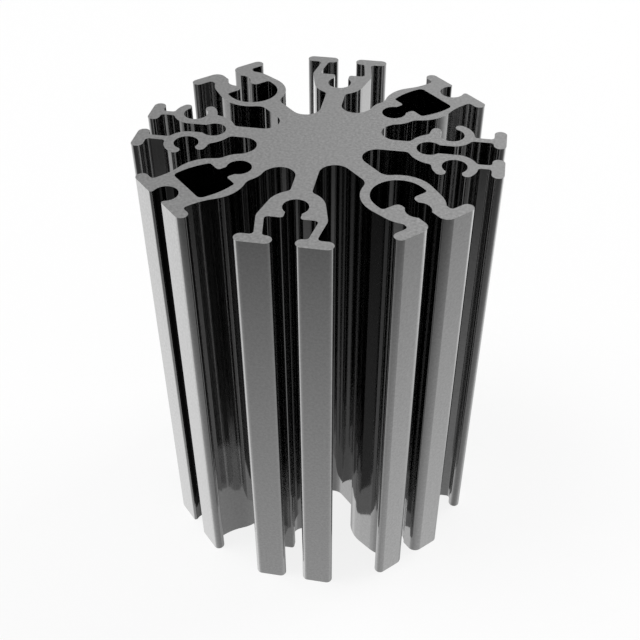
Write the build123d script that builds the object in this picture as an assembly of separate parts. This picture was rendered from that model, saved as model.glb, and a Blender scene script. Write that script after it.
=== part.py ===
from build123d import *
from math import acos, atan2, cos, sin, sqrt
import os

# LED heat sink: one cut length of an aluminium extrusion with eight arms round a solid core.
# It stands on a cut end, with the origin in the middle of that end and +Z along the extrusion.
# Opposite arms are alike, half a turn apart. Going clockwise from +Y, seen from above, they are
# the fork arm, the box arm, the hook arm and the bowl arm.
# An arm is drawn pointing along +Y, so Y is the distance from the axis and X goes across it.
# A depth is measured inward from the flat that the outer faces of the flanges lie on.

# Overall size
length = 80.0
across_flats = 61.0
arm_pitch = 45.0

# Stems, walls and roundings that the arms share
stem_thickness = 3.4
box_stem_thickness = 6.3
leg_thickness = 1.25
wall = 1.5
pocket_radius = 2.55
root_radius = 0.9
corner_radius = 0.6
lip_radius = 0.5

# Flanges: bars along the outside, split in the middle of the arm
flange_thickness = 2.05
flange_reach = 7.4
flange_gap = 3.4

# Screw channels: round holes for self-cutting screws, each open along a narrow mouth.
# The lip height goes from a channel's centre to the ledge that its mouth opens through.
channel_diameter = 4.1
mouth_width = 2.6
lip_height = 3.1
channel_edge_radius = 0.3

# Fork arm: a screw channel in the floor of a chamber between two legs
fork_channel_depth = 10.0
fork_channel_wall = 2.5
fork_shoulder_half_width = 5.4
fork_shoulder_radius = 2.5
fork_foot_offset = 3.85

# Box arm: a groove in the outer face, a closed cavity below it and a screw channel below that.
# The round barrel about the cavity has its middle a little below the cavity's.
box_groove_depth = 1.75
box_groove_corner = 0.4
box_cavity_height = 6.5
box_cavity_floor_width = 7.5
box_cavity_width = 8.75
box_cavity_roof_width = 8.2
box_cavity_corner = 0.9
box_barrel_wall = 1.625
box_barrel_drop = 0.75
box_neck_half_width = 4.95
box_neck_radius = 10.0
box_channel_wall = 2.1
box_root_radius = 2.2

# Hook arm: a screw channel with a deep slot above it, and a hooked screw channel on each side
hook_channel_depth = 12.4
hook_body_depth = 10.95
hook_body_radius = 4.95
side_channel_offset = 4.95
side_channel_wall = 1.65
side_nose_radius = 0.8
right_channel_depth = 7.9
left_channel_depth = 9.0
left_mouth_tilt = 22.0
right_leg_offset = 4.25
left_leg_offset = 4.05

# Bowl arm: a screw channel in a slot through a solid head, and a round bowl below the head
bowl_channel_depth = 4.8
bowl_flange_corner = 1.6
bowl_neck_half_width = 4.15
bowl_neck_length = 1.2
bowl_shoulder_radius = 5.43
bowl_root_radius = 2.0
bowl_ledge_radius = 0.9
bowl_ledge_height = 1.65
bowl_radius = 4.4

# Places and sizes that follow from those above
face_at = across_flats / 2
flange_at = face_at - flange_thickness / 2
underside_at = face_at - flange_thickness
channel_radius = channel_diameter / 2
fork_channel_at = face_at - fork_channel_depth
fork_ledge_at = fork_channel_at + lip_height
box_groove_at = face_at - box_groove_depth
box_roof_at = box_groove_at - channel_radius - wall
box_floor_at = box_roof_at - box_cavity_height
box_middle_at = (box_roof_at + box_floor_at) / 2
box_barrel_radius = box_cavity_width / 2 + box_barrel_wall
box_barrel_at = box_middle_at - box_barrel_drop
box_channel_at = box_floor_at - lip_height
hook_channel_at = face_at - hook_channel_depth
hook_body_at = face_at - hook_body_depth
side_boss_radius = channel_radius + side_channel_wall
right_boss = (side_channel_offset, face_at - right_channel_depth)
left_boss = (-side_channel_offset, face_at - left_channel_depth)
bowl_channel_at = face_at - bowl_channel_depth
bowl_ledge_at = bowl_channel_at - lip_height
bowl_at = bowl_ledge_at - bowl_ledge_height
bowl_shoulder_drop = sqrt(bowl_shoulder_radius**2 - bowl_neck_half_width**2)
bowl_shoulder_at = underside_at - bowl_neck_length - bowl_shoulder_drop
core_radius = box_channel_at - channel_radius - corner_radius / 2

# A corner is looked at this far along its two sides, and it has to turn by at least this much
probe = 0.02
smallest_turn = 15.0


def disc(place, radius):
    return Pos(*place) * Circle(radius)


def bar(left, right, low, high):
    """A rectangle between its four sides."""
    return Pos((left + right) / 2, (low + high) / 2) * Rectangle(right - left, high - low)


def stem(thickness, reach):
    """A straight web from the axis outward."""
    return bar(-thickness / 2, thickness / 2, 0, reach)


def belt(first, first_radius, second, second_radius):
    """Two discs and the straight sides that touch both, as a belt does round two pulleys."""
    start = Vector(*first)
    end = Vector(*second)
    along = (end - start).normalized()
    heading = atan2(along.Y, along.X)
    lean = acos((first_radius - second_radius) / (end - start).length)
    left = Vector(cos(heading + lean), sin(heading + lean))
    right = Vector(cos(heading - lean), sin(heading - lean))
    start_left = start + left * first_radius
    start_right = start + right * first_radius
    end_left = end + left * second_radius
    end_right = end + right * second_radius
    outline = Curve() + [
        Line(start_right, end_right),
        ThreePointArc(end_right, end + along * second_radius, end_left),
        Line(end_left, start_left),
        ThreePointArc(start_left, start - along * first_radius, start_right),
    ]
    return make_face(outline)


def flange(start, end):
    """A flange or one half of it: a bar with full round ends."""
    radius = flange_thickness / 2
    return belt((start + radius, flange_at), radius, (end - radius, flange_at), radius)


def screw_channel(place, mouth_length, heading=90.0):
    """The space of a screw channel, with its mouth open towards a heading."""
    mouth = Rectangle(mouth_length, mouth_width, align=(Align.MIN, Align.CENTER))
    return disc(place, channel_radius) + Pos(*place) * Rot(0, 0, heading) * mouth


def both_sides(half):
    return half + mirror(half, about=Plane.YZ)


def corners(sketch, inward):
    """The corners that cut into the material of a sketch, or else those that stick out."""
    face = sketch.faces()[0]
    ends = []
    for edge in sketch.edges():
        step = probe / edge.length
        ends.append((edge @ 0, edge @ step))
        ends.append((edge @ 1, edge @ (1 - step)))
    found = ShapeList()
    for vertex in sketch.vertices():
        point = Vector(vertex.X, vertex.Y)
        sides = [near - point for end, near in ends if (end - point).length < probe / 10]
        if len(sides) == 2 and 180 - sides[0].get_angle(sides[1]) > smallest_turn:
            if face.is_inside(point + (sides[0] + sides[1]) / 2) != inward:
                found.append(vertex)
    return found


def between(vertices, low, high):
    """Those whose distance from the axis lies between two limits."""
    return vertices.filter_by_position(Axis.Y, low, high)


def on_circle(vertices, centre, radius):
    """Those that lie on a circle."""
    return [v for v in vertices if abs(Vector(v.X, v.Y).sub(Vector(*centre)).length - radius) < probe]


def rounded(sketch, picked, radius):
    """The sketch with the picked corners rounded, if there are any."""
    return fillet(picked, radius) if picked else sketch


def channel_eased(sketch, place):
    """The sketch with the edges between a screw channel and its mouth rounded."""
    edges = on_circle(corners(sketch, False), place, channel_radius)
    return rounded(sketch, edges, channel_edge_radius)


def fork_arm():
    channel = (0, fork_channel_at)
    shoulder = (fork_shoulder_half_width - fork_shoulder_radius, fork_ledge_at)
    foot = (fork_foot_offset, flange_at)
    half = belt(channel, channel_radius + fork_channel_wall, shoulder, fork_shoulder_radius)
    half += belt(shoulder, fork_shoulder_radius, foot, leg_thickness / 2)
    body = stem(stem_thickness, fork_channel_at) + both_sides(half)
    body += bar(-shoulder[0], shoulder[0], fork_channel_at, fork_ledge_at)
    body -= fork_chamber()
    body += both_sides(flange(flange_gap / 2, flange_reach))
    body = rounded(body, between(corners(body, True), 0, fork_channel_at), root_radius)
    body = rounded(body, corners(body, True), corner_radius)
    body -= screw_channel(channel, lip_height + wall)
    body = channel_eased(body, channel)
    return rounded(body, between(corners(body, False), fork_channel_at, underside_at), lip_radius)


def fork_chamber():
    """The space between the legs, from the ledge out."""
    floor_end = fork_shoulder_half_width - leg_thickness
    foot_side = fork_foot_offset - leg_thickness / 2
    floor = Line((0, fork_ledge_at), (floor_end, fork_ledge_at))
    side = floor + Polyline(floor @ 1, (foot_side, flange_at), (foot_side, face_at), (0, face_at))
    return make_face(side + mirror(side, about=Plane.YZ))


def box_arm():
    channel = (0, box_channel_at)
    barrel = (0, box_barrel_at)
    body = disc(channel, channel_radius + box_channel_wall) + disc(barrel, box_barrel_radius)
    body += bar(-box_neck_half_width, box_neck_half_width, box_barrel_at, flange_at)
    body += stem(box_stem_thickness, box_channel_at)
    body += flange(-flange_reach, flange_reach)
    body = rounded(body, between(corners(body, True), 0, box_barrel_at), box_root_radius)
    body = rounded(body, between(corners(body, True), underside_at - probe, face_at), corner_radius)
    body = rounded(body, corners(body, True), box_neck_rounding())
    body -= box_cavity() + screw_channel(channel, lip_height + wall)
    body = channel_eased(body, channel)
    body = rounded(body, between(corners(body, False), box_channel_at, box_barrel_at), lip_radius)
    groove = disc((0, box_groove_at), channel_radius)
    body -= groove + bar(-flange_gap / 2, flange_gap / 2, box_groove_at, face_at)
    return rounded(body, between(corners(body, False), flange_at, face_at + wall), box_groove_corner)


def box_neck_rounding():
    """The radius of the long hollow from barrel to neck, limited by the neck's straight wall."""
    room = underside_at - 2 * corner_radius - box_barrel_at
    step = box_barrel_radius - box_neck_half_width
    largest = (room**2 / step - box_barrel_radius - box_neck_half_width) / 2
    return min(box_neck_radius, largest)


def box_cavity():
    """The closed cavity, with a flat floor, a flat roof and sides that bulge a little."""
    floor_end = (box_cavity_floor_width / 2, box_floor_at)
    bulge = (box_cavity_width / 2, box_middle_at)
    roof_end = (box_cavity_roof_width / 2, box_roof_at)
    side = Line((0, box_floor_at), floor_end) + ThreePointArc(floor_end, bulge, roof_end)
    side += Line(roof_end, (0, box_roof_at))
    cavity = make_face(side + mirror(side, about=Plane.YZ))
    cavity = rounded(cavity, between(corners(cavity, False), box_middle_at, face_at), box_cavity_corner)
    return rounded(cavity, corners(cavity, False), lip_radius)


def hook_arm():
    body = stem(stem_thickness, hook_body_at) + disc((0, hook_body_at), hook_body_radius)
    body &= bar(-hook_body_radius, hook_body_radius, 0, hook_body_at)
    for boss, leg_x in ((right_boss, right_leg_offset), (left_boss, -left_leg_offset)):
        body += disc(boss, side_boss_radius)
        body += bar(min(0, boss[0]), max(0, boss[0]), hook_body_at, boss[1])
        body += bar(leg_x - leg_thickness / 2, leg_x + leg_thickness / 2, boss[1], flange_at)
    body += both_sides(flange(flange_gap / 2, flange_reach))
    channel = (0, hook_channel_at)
    body -= screw_channel(channel, face_at - hook_channel_at)
    body = rounded(body, between(corners(body, True), 0, hook_channel_at), root_radius)
    body = rounded(body, corners(body, True), corner_radius)
    body = channel_eased(body, channel)
    for boss, heading in ((right_boss, 0.0), (left_boss, 180.0 + left_mouth_tilt)):
        body -= screw_channel(boss, side_boss_radius + wall, heading)
        noses = on_circle(corners(body, False), boss, side_boss_radius)
        body = rounded(body, noses, min(side_nose_radius, side_channel_wall / 2))
        body = channel_eased(body, boss)
    return body


def bowl_arm():
    bowl = (0, bowl_at)
    channel = (0, bowl_channel_at)
    body = belt(bowl, bowl_radius + wall, (0, bowl_shoulder_at), bowl_shoulder_radius)
    body += bar(-bowl_neck_half_width, bowl_neck_half_width, bowl_at, flange_at)
    body += stem(stem_thickness, bowl_at)
    body += flange(-flange_reach, flange_reach)
    body = rounded(body, between(corners(body, True), 0, bowl_at), bowl_root_radius)
    body = rounded(body, corners(body, True), corner_radius)
    hollow = disc(bowl, bowl_radius) + bar(-bowl_radius, bowl_radius, bowl_at, bowl_ledge_at)
    hollow &= bar(-bowl_radius, bowl_radius, bowl_at - bowl_radius, bowl_ledge_at)
    hollow = rounded(hollow, corners(hollow, False), corner_radius)
    body -= hollow
    body -= disc(channel, channel_radius) + bar(-mouth_width / 2, mouth_width / 2, bowl_at, face_at)
    body = rounded(body, between(corners(body, False), flange_at, face_at + wall), bowl_flange_corner)
    body = channel_eased(body, channel)
    return rounded(body, between(corners(body, False), bowl_at, bowl_channel_at), bowl_ledge_radius)


def core():
    """The stems crossing at the axis, with a round floor to the pocket between each two of them."""
    star = Sketch()
    thicknesses = (stem_thickness, box_stem_thickness, stem_thickness, stem_thickness)
    for number, thickness in enumerate(thicknesses):
        star += Rot(0, 0, -number * arm_pitch) * Rectangle(thickness, across_flats)
    pocket_corners = star.vertices().sort_by_distance((0, 0, 0))[:8]
    return fillet(pocket_corners, pocket_radius) & Circle(core_radius)


def section():
    """The whole section: each arm and its twin on the other side of the core."""
    profile = core()
    for number, arm in enumerate((fork_arm(), box_arm(), hook_arm(), bowl_arm())):
        profile += Rot(0, 0, -number * arm_pitch) * arm
        profile += Rot(0, 0, 180 - number * arm_pitch) * arm
    return profile


os.makedirs("parts", exist_ok=True)
heat_sink = extrude(section(), length)
export_step(heat_sink, "parts/heat_sink.step")
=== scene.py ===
import math

import bmesh
import bpy
from mathutils import Euler, Matrix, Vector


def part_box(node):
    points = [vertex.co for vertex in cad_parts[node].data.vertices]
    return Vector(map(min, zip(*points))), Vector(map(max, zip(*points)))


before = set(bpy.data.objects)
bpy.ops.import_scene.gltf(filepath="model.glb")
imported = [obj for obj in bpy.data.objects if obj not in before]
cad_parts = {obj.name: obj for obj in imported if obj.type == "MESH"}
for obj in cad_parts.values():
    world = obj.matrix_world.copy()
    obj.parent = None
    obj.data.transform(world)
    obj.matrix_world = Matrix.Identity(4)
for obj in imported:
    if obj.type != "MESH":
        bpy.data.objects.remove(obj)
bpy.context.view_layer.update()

# LED heat sink: one cut length of plain aluminium extrusion, standing on a pale floor.
# Lengths are in metres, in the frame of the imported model: the origin is in the middle of the
# lower cut end and +Z runs along the extrusion.
MM = 0.001

heat_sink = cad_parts["heat_sink"]
lowest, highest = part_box("heat_sink")
half_width = highest.x

# Camera of the photograph: how far it looks down, and how far left of +Y, in degrees
CAMERA_PLACE = (25.02 * MM, -138.40 * MM, 160.26 * MM)
CAMERA_DOWN = 40.39
CAMERA_HEADING = 10.28
CAMERA_ROLL = -0.21
LENS = 54.07
SENSOR = 36.0
NEAR_LIMIT = 1 * MM
FAR_LIMIT = 20.0

# Metal. The walls inside the gaps are painted darker than the outer faces, as painted shade in the gaps, and
# the ends are sawn.
# A depth is measured inward from the flat that the outer faces lie on.
OUTER_GREY = 0.62
INNER_SHADE_GREY = 0.38
END_GREY = 0.51
INNER_SHADE_DEPTHS = (0.2 * MM, 0.9 * MM)
SIDE_ROUGHNESS = 0.08
END_ROUGHNESS = 0.38
# A face is a cut end if its normal leans this much to Z or more
END_FACING = 0.5

# The groove in the outer face of each box arm is narrow, and its walls are painted darker still, as painted
# shade in the groove
GROOVE_SHADE_GREY = 0.12
GROOVE_HALF_WIDTH = 2.1 * MM
GROOVE_DEPTHS = (0.45 * MM, 4.0 * MM)

# Noise of the sides' lines and of the grain, in waves for each metre. The lines have far fewer
# waves along the extrusion than across it. The range is what most of the noise lies in.
LINES_SCALE = 2500.0
LINES_STRETCH = (1.0, 1.0, 0.003)
GRAIN_SCALE = 2200.0
NOISE_DETAIL = 2.0
NOISE_ROUGHNESS = 0.6
NOISE_RANGE = (0.3, 0.7)

# How far the noise takes a tone or roughness up and down, as a share of it, and how high it stands
SIDE_TONE_SWING = 0.08
END_TONE_SWING = 0.13
SIDE_ROUGHNESS_SWING = 0.30
END_ROUGHNESS_SWING = 0.15
SIDE_BUMP = 0.03
END_BUMP = 0.35
BUMP_DISTANCE = 0.02 * MM

# Floor and backdrop, which rises in a curve all round
FLOOR_GREY = 0.90
FLOOR_RADIUS = 1.3
COVE_RADIUS = 0.3
COVE_HEIGHT = 0.5
COVE_STEPS = 12
ROUND_STEPS = 96
WELD_DISTANCE = 0.01 * MM
BACKGROUND_SHARE = 0.85

# Soft square lamps: name, place and power in watts
LAMP_SIZE = 0.6
LAMPS = (
    ("key", (-0.6, -0.1, 1.2), 8.0),
    ("fill", (0.8, 0.7, 0.8), 7.0),
)

# Light from all round. What the metal mirrors above the horizon is a little brighter on the right.
WORLD_LEVEL = 0.45
SKY_LEVEL = 0.52
SKY_SLOPE = 0.45

# Surroundings that the metal mirrors below the horizon, rounded and set by comparing renders with
# the photograph: pale on the left and behind, dark in front, and between the two on the right.
# Each entry is a turn from +X in degrees, the level far down, and the level nearer the horizon.
SURROUNDINGS = (
    (0, 0.60, 0.30),
    (40, 0.40, 1.10),
    (120, 0.30, 1.10),
    (150, 1.00, 1.00),
    (165, 0.85, 0.70),
    (190, 0.95, 0.65),
    (215, 0.60, 0.05),
    (250, 0.40, 0.05),
    (300, 0.40, 0.05),
    (345, 0.45, 0.10),
)
# Height of a direction far down, nearer the horizon, and where the light above begins
FAR_DOWN = -0.82
NEARER = -0.50
SKY_FROM = -0.20


def link(thing):
    bpy.context.scene.collection.objects.link(thing)


def grey(level):
    return (level, level, level, 1.0)


def add_camera():
    data = bpy.data.cameras.new("camera")
    data.lens = LENS
    data.sensor_width = SENSOR
    data.clip_start = NEAR_LIMIT
    data.clip_end = FAR_LIMIT
    aim = Euler((math.radians(90 - CAMERA_DOWN), 0, math.radians(CAMERA_HEADING))).to_matrix()
    roll = Matrix.Rotation(math.radians(CAMERA_ROLL), 3, "Z")
    camera = bpy.data.objects.new("camera", data)
    camera.location = CAMERA_PLACE
    camera.rotation_euler = (aim @ roll).to_euler()
    link(camera)
    bpy.context.scene.camera = camera


class Nodes:
    """A material's or world's node tree, with short calls that add a node and give its output."""

    def __init__(self, owner):
        owner.use_nodes = True
        self.tree = owner.node_tree
        self.tree.nodes.clear()

    def new(self, kind, values):
        """A new node, with its first inputs filled in order."""
        node = self.tree.nodes.new(kind)
        for socket, value in zip(node.inputs, values):
            self.fill(socket, value)
        return node

    def fill(self, socket, value):
        if isinstance(value, bpy.types.NodeSocket):
            self.tree.links.new(value, socket)
        else:
            socket.default_value = value

    def add(self, kind, output=0, **inputs):
        """One output of a new node. An input is a value or an output of another node."""
        node = self.tree.nodes.new(kind)
        for name, value in inputs.items():
            self.fill(node.inputs[name.replace("_", " ")], value)
        return node.outputs[output] if node.outputs else None

    def math(self, operation, *values):
        node = self.new("ShaderNodeMath", values)
        node.operation = operation
        return node.outputs[0]

    def ramp(self, value, first, last, low, high):
        """The value's range from first to last, turned into low to high and held there."""
        return self.add("ShaderNodeMapRange", Value=value, From_Min=first, From_Max=last,
                        To_Min=low, To_Max=high)

    def mix(self, factor, first, second):
        """A number between two others."""
        return self.ramp(factor, 0.0, 1.0, first, second)

    def swing(self, noise, middle, share):
        """A number that noise takes a share of it up and down."""
        return self.ramp(noise, *NOISE_RANGE, middle * (1 - share), middle * (1 + share))

    def split(self, value, kind="ShaderNodeSeparateXYZ"):
        """The three numbers of a vector or a colour."""
        return self.new(kind, (value,)).outputs


def new_material(name):
    material = bpy.data.materials.new(name)
    return material, Nodes(material)


def depth_from_flats(nodes, x, y):
    """How far a point lies inside the eight flats that the outer faces of the flanges lie on."""
    x = nodes.math("ABSOLUTE", x)
    y = nodes.math("ABSOLUTE", y)
    straight = nodes.math("MAXIMUM", x, y)
    slanted = nodes.math("MULTIPLY", nodes.math("ADD", x, y), math.sqrt(0.5))
    return nodes.math("SUBTRACT", half_width, nodes.math("MAXIMUM", straight, slanted))


def in_box_groove(nodes, x, y, depth):
    """1 in the groove of either box arm, and 0 elsewhere. Those arms lie on the line x = y."""
    aside = nodes.math("MULTIPLY", nodes.math("SUBTRACT", x, y), math.sqrt(0.5))
    near = nodes.math("LESS_THAN", nodes.math("ABSOLUTE", aside), GROOVE_HALF_WIDTH)
    below_edge = nodes.math("GREATER_THAN", depth, GROOVE_DEPTHS[0])
    above_floor = nodes.math("LESS_THAN", depth, GROOVE_DEPTHS[1])
    return nodes.math("MULTIPLY", near, nodes.math("MULTIPLY", below_edge, above_floor))


def fine_noise(nodes, place, scale):
    return nodes.add("ShaderNodeTexNoise", "Fac", Vector=place, Scale=scale, Detail=NOISE_DETAIL,
                     Roughness=NOISE_ROUGHNESS)


def aluminium():
    """Extruded sides with fine lengthwise lines, and sawn ends with a fine grain."""
    material, nodes = new_material("aluminium")
    place = nodes.add("ShaderNodeTexCoord", "Object")
    x, y, _ = nodes.split(place)
    facing = nodes.split(nodes.add("ShaderNodeNewGeometry", "True Normal"))[2]
    is_end = nodes.math("GREATER_THAN", nodes.math("ABSOLUTE", facing), END_FACING)
    lines = fine_noise(nodes, nodes.add("ShaderNodeMapping", Vector=place, Scale=LINES_STRETCH), LINES_SCALE)
    grain = fine_noise(nodes, place, GRAIN_SCALE)

    depth = depth_from_flats(nodes, x, y)
    # Painted shade: walls that lie deeper inside the flats than the outer faces are painted darker, for the
    # shade in the gaps
    shaded_by_depth = nodes.ramp(depth, *INNER_SHADE_DEPTHS, OUTER_GREY, INNER_SHADE_GREY)
    # Painted shade: the walls of the box arms' grooves are painted darker still
    wall = nodes.mix(in_box_groove(nodes, x, y, depth), shaded_by_depth, GROOVE_SHADE_GREY)
    side_tone = nodes.math("MULTIPLY", wall, nodes.swing(grain, 1.0, SIDE_TONE_SWING))
    end_tone = nodes.swing(grain, END_GREY, END_TONE_SWING)
    tone = nodes.mix(is_end, side_tone, end_tone)
    colour = nodes.add("ShaderNodeCombineColor", Red=tone, Green=tone, Blue=tone)

    side_roughness = nodes.swing(lines, SIDE_ROUGHNESS, SIDE_ROUGHNESS_SWING)
    end_roughness = nodes.swing(grain, END_ROUGHNESS, END_ROUGHNESS_SWING)
    roughness = nodes.mix(is_end, side_roughness, end_roughness)
    bump = nodes.add("ShaderNodeBump", Strength=nodes.mix(is_end, SIDE_BUMP, END_BUMP),
                     Distance=BUMP_DISTANCE, Height=nodes.mix(is_end, lines, grain))
    metal = nodes.add("ShaderNodeBsdfPrincipled", Base_Color=colour, Metallic=1.0,
                      Roughness=roughness, Normal=bump)
    nodes.add("ShaderNodeOutputMaterial", Surface=metal)
    return material


def pale_paint():
    """Pale paint that keeps the shadow, and looks near white to the camera."""
    material, nodes = new_material("pale_paint")
    camera = nodes.add("ShaderNodeLightPath", "Is Camera Ray")
    glossy = nodes.add("ShaderNodeLightPath", "Is Glossy Ray")
    through = nodes.add("ShaderNodeLightPath", "Is Transmission Ray")
    seen = nodes.math("MAXIMUM", nodes.math("MAXIMUM", camera, glossy), through)
    share = nodes.math("MULTIPLY", seen, BACKGROUND_SHARE)
    paint = nodes.add("ShaderNodeBsdfDiffuse", Color=grey(FLOOR_GREY))
    white = nodes.add("ShaderNodeEmission", Strength=1.0)
    mixed = nodes.new("ShaderNodeMixShader", (share, paint, white)).outputs[0]
    nodes.add("ShaderNodeOutputMaterial", Surface=mixed)
    return material


def add_floor():
    """A round floor that curves up into a low wall. The metal mirrors the surroundings instead."""
    profile = [(0.0, 0.0), (FLOOR_RADIUS, 0.0)]
    for step in range(1, COVE_STEPS + 1):
        turn = math.radians(90 * step / COVE_STEPS)
        profile.append((FLOOR_RADIUS + COVE_RADIUS * math.sin(turn), COVE_RADIUS * (1 - math.cos(turn))))
    profile.append((FLOOR_RADIUS + COVE_RADIUS, COVE_HEIGHT))
    mesh = bmesh.new()
    points = [mesh.verts.new((reach, 0, rise)) for reach, rise in profile]
    edges = [mesh.edges.new(pair) for pair in zip(points, points[1:])]
    bmesh.ops.spin(mesh, geom=points + edges, cent=(0, 0, 0), axis=(0, 0, 1),
                   angle=2 * math.pi, steps=ROUND_STEPS, use_merge=True, use_duplicate=False)
    bmesh.ops.remove_doubles(mesh, verts=mesh.verts, dist=WELD_DISTANCE)
    data = bpy.data.meshes.new("floor")
    mesh.to_mesh(data)
    mesh.free()
    data.shade_smooth()
    data.materials.append(pale_paint())
    floor = bpy.data.objects.new("floor", data)
    link(floor)
    floor.visible_glossy = False


def add_lamp(name, place, power):
    """A soft square lamp that points at the middle of the object."""
    data = bpy.data.lights.new(name, "AREA")
    data.size = LAMP_SIZE
    data.energy = power
    lamp = bpy.data.objects.new(name, data)
    lamp.location = place
    lamp.rotation_euler = ((lowest + highest) / 2 - lamp.location).to_track_quat("-Z", "Y").to_euler()
    link(lamp)


def add_stops(ramp):
    """Puts the surroundings on a colour ramp round the horizon: far down in red, nearer in green."""
    for turn, down, near in SURROUNDINGS:
        stop = ramp.elements.new(turn / 360) if turn else ramp.elements[0]
        stop.color = (down, near, 0.0, 1.0)
    ramp.elements[-1].color = ramp.elements[0].color


def add_world():
    """Grey light, white to the camera, with the sky and surroundings that the metal mirrors."""
    world = bpy.data.worlds.new("world")
    bpy.context.scene.world = world
    nodes = Nodes(world)
    x, y, height = nodes.split(nodes.add("ShaderNodeTexCoord", "Generated"))
    turn = nodes.math("ARCTAN2", y, x)
    around = nodes.math("FRACT", nodes.math("ADD", nodes.math("DIVIDE", turn, math.tau), 1.0))
    levels = nodes.new("ShaderNodeValToRGB", (around,))
    add_stops(levels.color_ramp)
    down, near, _ = nodes.split(levels.outputs[0], "ShaderNodeSeparateColor")
    below = nodes.ramp(height, FAR_DOWN, NEARER, down, near)
    sky = nodes.math("MULTIPLY_ADD", x, SKY_SLOPE, SKY_LEVEL)
    mirrored = nodes.ramp(height, NEARER, SKY_FROM, below, sky)
    lit = nodes.mix(nodes.add("ShaderNodeLightPath", "Is Glossy Ray"), WORLD_LEVEL, mirrored)
    strength = nodes.mix(nodes.add("ShaderNodeLightPath", "Is Camera Ray"), lit, 1.0)
    shown = nodes.add("ShaderNodeBackground", Color=grey(1.0), Strength=strength)
    nodes.add("ShaderNodeOutputWorld", Surface=shown)


bpy.context.scene.view_settings.view_transform = "Standard"
add_camera()
add_world()
add_floor()
for name, place, power in LAMPS:
    add_lamp(name, place, power)
heat_sink.material_slots[0].link = "OBJECT"
heat_sink.material_slots[0].material = aluminium()
